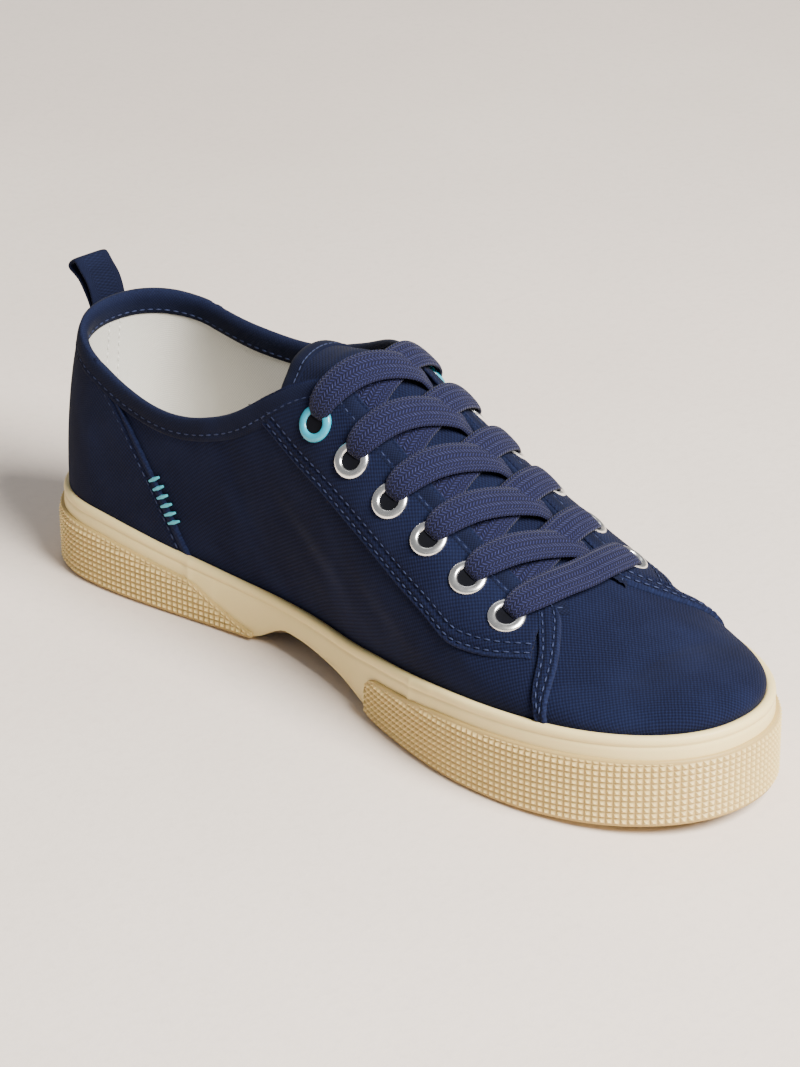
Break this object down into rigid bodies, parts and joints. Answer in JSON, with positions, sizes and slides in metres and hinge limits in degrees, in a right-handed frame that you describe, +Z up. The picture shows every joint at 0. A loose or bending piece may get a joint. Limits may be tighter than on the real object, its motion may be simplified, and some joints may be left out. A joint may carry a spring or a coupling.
{
  "type": "canvas sneaker",
  "caption": "Low lace-up canvas sneaker for the left foot, with cream rubber foxing, textured toe and heel bumpers and a heel pull loop.",
  "frame": {"origin": "centre of the bounding box, on the ground plane under the sole", "axes": "+X from the heel to the toe, +Y to the outer side of the left foot, +Z up"},
  "size_m": [0.2748, 0.0902, 0.0967],
  "materials": {
    "sole_rubber": "matt tan rubber",
    "foxing_rubber": "satin cream rubber",
    "lining": "off-white cotton",
    "canvas": "matt navy canvas",
    "webbing": "ribbed navy webbing",
    "lace_braid": "flat indigo braid",
    "eyelet_metal": "polished",
    "eyelet_enamel": "turquoise enamel"
  },
  "bodies": {
    "root": {"outsole": "sole_rubber", "foxing_band": "foxing_rubber", "toe_bumper": "foxing_rubber", "heel_bumper": "foxing_rubber", "insole": "lining", "upper": "canvas", "tongue": "canvas", "pull_loop": "webbing", "eyelet_medial_1": "eyelet_enamel", "eyelet_lateral_1": "eyelet_enamel", "eyelet_medial_2": "eyelet_metal", "eyelet_lateral_2": "eyelet_metal", "eyelet_medial_3": "eyelet_metal", "eyelet_lateral_3": "eyelet_metal", "eyelet_medial_4": "eyelet_metal", "eyelet_lateral_4": "eyelet_metal", "eyelet_medial_5": "eyelet_metal", "eyelet_lateral_5": "eyelet_metal", "eyelet_medial_6": "eyelet_metal", "eyelet_lateral_6": "eyelet_metal", "lace_cross_1": "lace_braid", "lace_cross_2": "lace_braid", "lace_cross_3": "lace_braid", "lace_cross_4": "lace_braid", "lace_cross_5": "lace_braid", "lace_bar": "lace_braid"}
  },
  "joints": []
}
